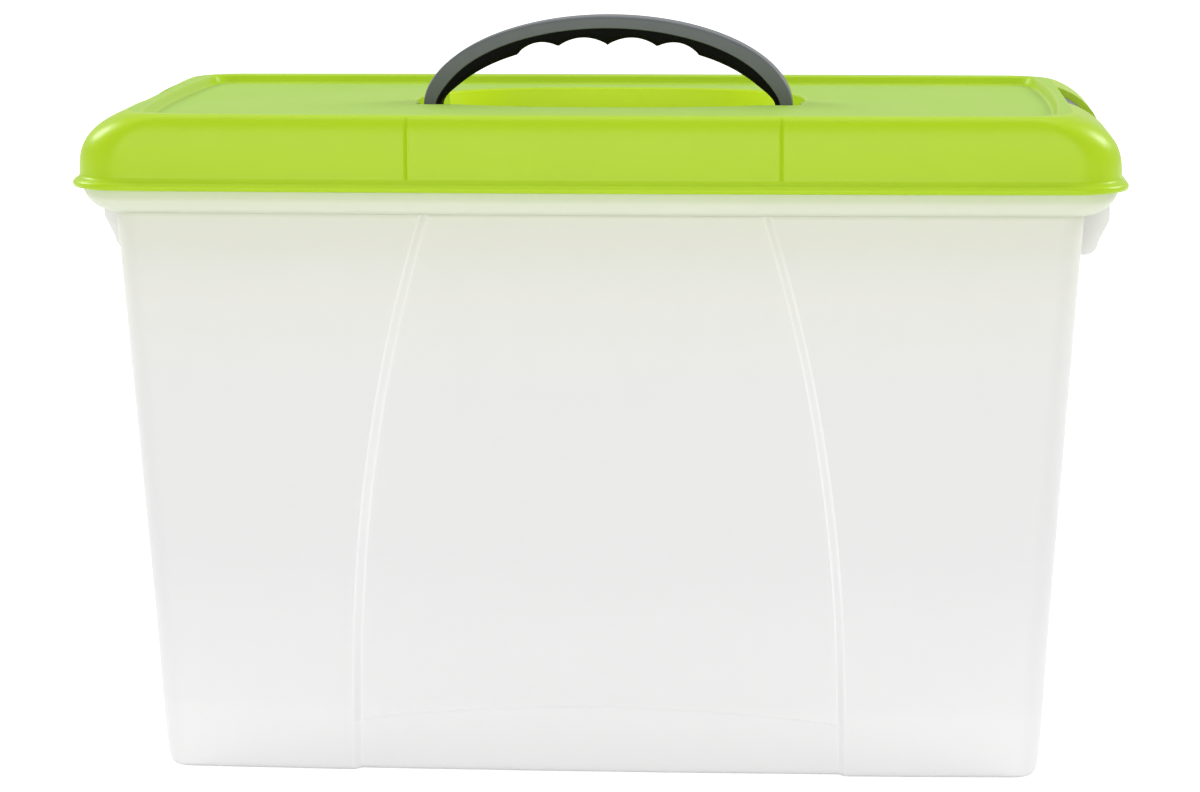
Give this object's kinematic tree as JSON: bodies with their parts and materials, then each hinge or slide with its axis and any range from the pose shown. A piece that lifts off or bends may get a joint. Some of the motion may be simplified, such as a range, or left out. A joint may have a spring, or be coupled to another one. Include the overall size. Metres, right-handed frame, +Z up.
{
  "type": "portable file box",
  "caption": "Upright box for hanging files: a tapered translucent tub with rails under its rim, a coloured lift-off lid with a folding carry handle and a latch at each short end.",
  "frame": {"origin": "centre of the base, on the surface the box stands on", "axes": "+Z up, +X to the right along the long side, +Y towards the back, where the handle folds"},
  "size_m": [0.4276, 0.2144, 0.3099],
  "materials": {
    "tub_plastic": "milky translucent polypropylene, satin outside",
    "lid_plastic": "lime translucent polypropylene, satin skirt and finely frosted top panel",
    "handle_plastic": "satin moulded plastic",
    "grip_rubber": "matt soft rubber overmoulding",
    "latch_plastic": "satin moulded plastic",
    "pin_plastic": "natural nylon"
  },
  "bodies": {
    "tub": {"tub": "tub_plastic"},
    "lid": {"lid": "lid_plastic", "handle_pin_left": "pin_plastic", "handle_pin_right": "pin_plastic", "latch_pin_left": "pin_plastic", "latch_pin_right": "pin_plastic"},
    "handle": {"handle_frame": "handle_plastic", "handle_grip": "grip_rubber"},
    "latch_left": {"latch_left": "latch_plastic"},
    "latch_right": {"latch_right": "latch_plastic"}
  },
  "joints": [
    {"name": "lid_lift", "type": "slide", "parent": "tub", "child": "lid", "axis": [0, 0, 1], "range_m": [0, 0.3]},
    {"name": "handle_fold", "type": "hinge", "parent": "lid", "child": "handle", "pos_m": [0, 0, 0.2657], "axis": [-1, 0, 0], "range_deg": [0, 90]},
    {"name": "latch_left_press", "type": "hinge", "parent": "lid", "child": "latch_left", "pos_m": [-0.20212, 0, 0.264], "axis": [0, -1, 0], "range_deg": [0, 8], "stiffness_Nm_per_rad": 0.3},
    {"name": "latch_right_press", "type": "hinge", "parent": "lid", "child": "latch_right", "pos_m": [0.20212, 0, 0.264], "axis": [0, 1, 0], "range_deg": [0, 8], "stiffness_Nm_per_rad": 0.3}
  ]
}
